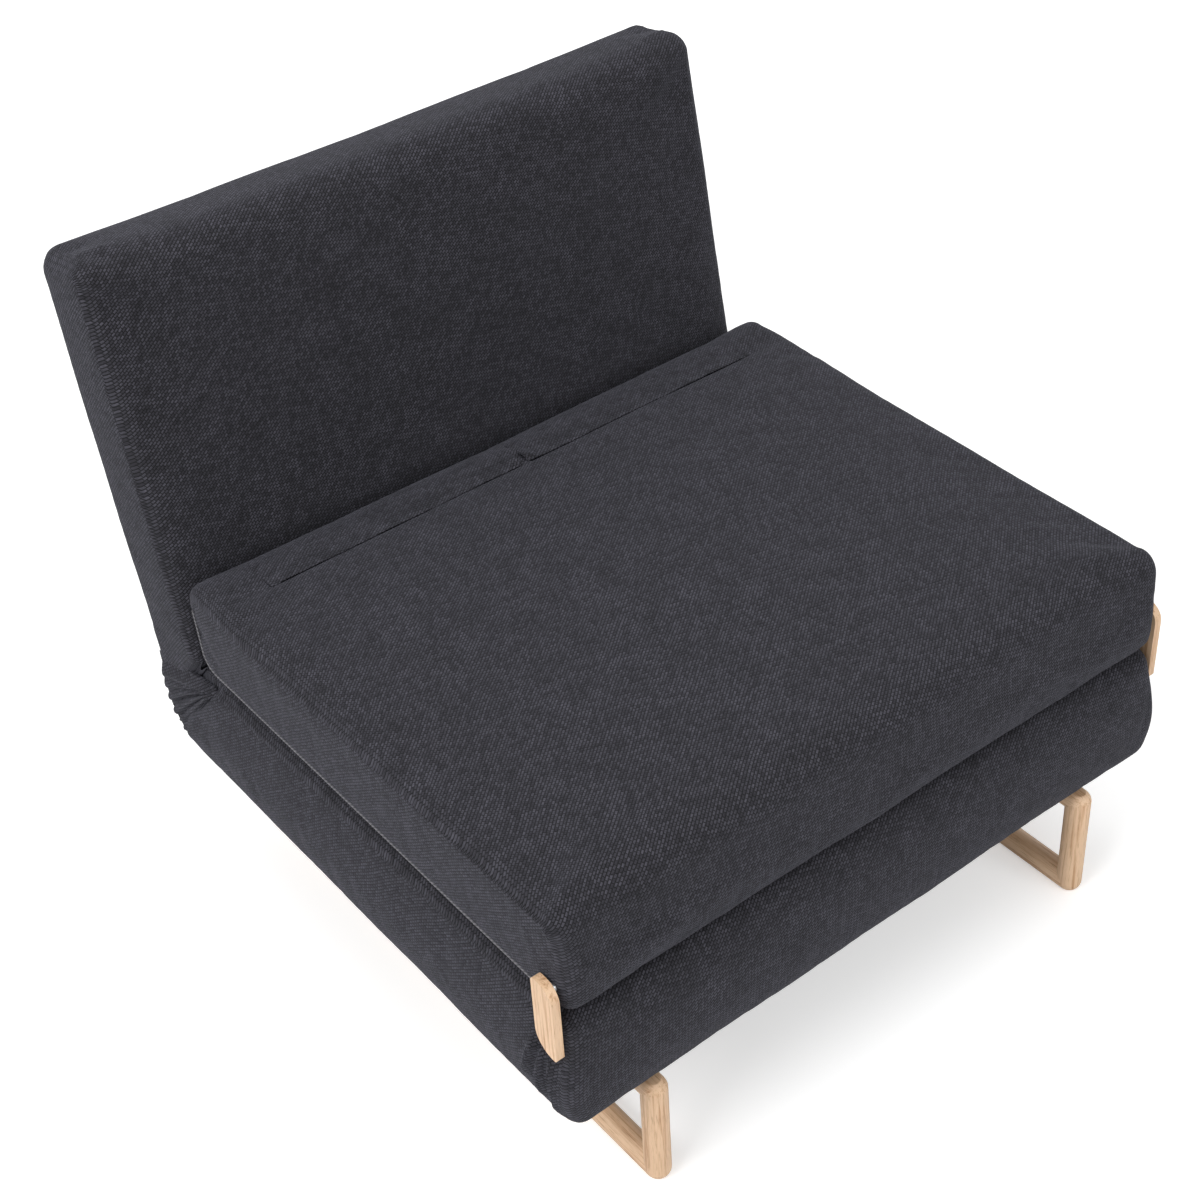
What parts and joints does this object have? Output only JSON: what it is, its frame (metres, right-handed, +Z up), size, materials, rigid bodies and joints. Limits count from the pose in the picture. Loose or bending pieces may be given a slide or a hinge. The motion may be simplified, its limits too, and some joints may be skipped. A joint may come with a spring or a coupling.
{
  "type": "convertible chair bed",
  "caption": "Low upholstered chair on oak sled legs whose padded seat section folds forward on link plates and whose backrest reclines flat to make a bed.",
  "frame": {"origin": "on the floor, in the middle of the chair's footprint", "axes": "+Z up, +X to the right for someone facing the chair's front, +Y from the front to the back"},
  "size_m": [0.8764, 0.9222, 0.8102],
  "materials": {
    "cloth": "woven, matt",
    "foam": "open-cell foam",
    "frame_steel": "powder coat, satin",
    "zinc": "zinc plated",
    "oak": "clear matt lacquer",
    "beech": "bare planed",
    "webbing": "elastic webbing",
    "lining": "non-woven cloth",
    "tip_rubber": "moulded, matt"
  },
  "bodies": {
    "base": {"base_front_rail": "frame_steel", "base_rear_rail": "frame_steel", "base_left_rail": "frame_steel", "base_right_rail": "frame_steel", "base_slats": "beech", "base_left_bracket": "frame_steel", "base_right_bracket": "frame_steel", "base_cover": "cloth", "base_foam": "foam", "base_dust_cloth": "lining", "bend_cover": "cloth", "recline_left_lower_arm": "frame_steel", "recline_right_lower_arm": "frame_steel", "recline_left_pin": "zinc", "recline_right_pin": "zinc", "leg_bolts": "zinc", "left_front_post": "oak", "left_rear_post": "oak", "left_runner": "oak", "left_top_rail": "oak", "right_front_post": "oak", "right_rear_post": "oak", "right_runner": "oak", "right_top_rail": "oak"},
    "backrest": {"back_cover": "cloth", "back_foam": "foam", "back_left_post": "frame_steel", "back_right_post": "frame_steel", "back_top_rail": "frame_steel", "back_bottom_rail": "frame_steel", "back_webbing": "webbing", "recline_left_upper_arm": "frame_steel", "recline_right_upper_arm": "frame_steel"},
    "left_plate": {"left_link_plate": "oak", "left_lower_pivot_bolt": "zinc", "left_upper_pivot_bolt": "zinc"},
    "right_plate": {"right_link_plate": "oak", "right_lower_pivot_bolt": "zinc", "right_upper_pivot_bolt": "zinc"},
    "flip_section": {"flip_cover": "cloth", "flip_foam": "foam", "flip_front_rail": "frame_steel", "flip_rear_rail": "frame_steel", "flip_left_rail": "frame_steel", "flip_right_rail": "frame_steel", "flip_slats": "beech", "flip_left_bracket": "frame_steel", "flip_right_bracket": "frame_steel", "left_slot_welt": "cloth", "right_slot_welt": "cloth", "left_leg_channel": "zinc", "right_leg_channel": "zinc", "left_foot_pivot_bolt": "zinc", "right_foot_pivot_bolt": "zinc"},
    "left_foot": {"left_foot_leg": "frame_steel", "left_foot_tip": "tip_rubber"},
    "right_foot": {"right_foot_leg": "frame_steel", "right_foot_tip": "tip_rubber"}
  },
  "joints": [
    {"name": "left_plate_fold", "type": "hinge", "parent": "base", "child": "left_plate", "pos_m": [0, -0.433, 0.28], "axis": [1, 0, 0], "range_deg": [0, 90]},
    {"name": "right_plate_fold", "type": "hinge", "parent": "base", "child": "right_plate", "pos_m": [0, -0.433, 0.28], "axis": [1, 0, 0], "range_deg": [0, 90]},
    {"name": "section_fold", "type": "hinge", "parent": "left_plate", "child": "flip_section", "pos_m": [0, -0.433, 0.356], "axis": [1, 0, 0], "range_deg": [0, 90]},
    {"name": "recline", "type": "hinge", "parent": "base", "child": "backrest", "pos_m": [0, 0.31471, 0.243], "axis": [-1, 0, 0], "range_deg": [0, 80], "deforming": ["bend_cover"]},
    {"name": "left_foot_fold", "type": "hinge", "parent": "flip_section", "child": "left_foot", "pos_m": [-0.338, 0.169, 0.388], "axis": [0, -1, 0], "range_deg": [0, 90]},
    {"name": "right_foot_fold", "type": "hinge", "parent": "flip_section", "child": "right_foot", "pos_m": [0.338, 0.169, 0.388], "axis": [0, 1, 0], "range_deg": [0, 90]}
  ],
  "couplings": [
    {"joint": "right_plate_fold", "follows": "left_plate_fold", "ratio": 1},
    {"joint": "section_fold", "follows": "left_plate_fold", "ratio": 1}
  ]
}
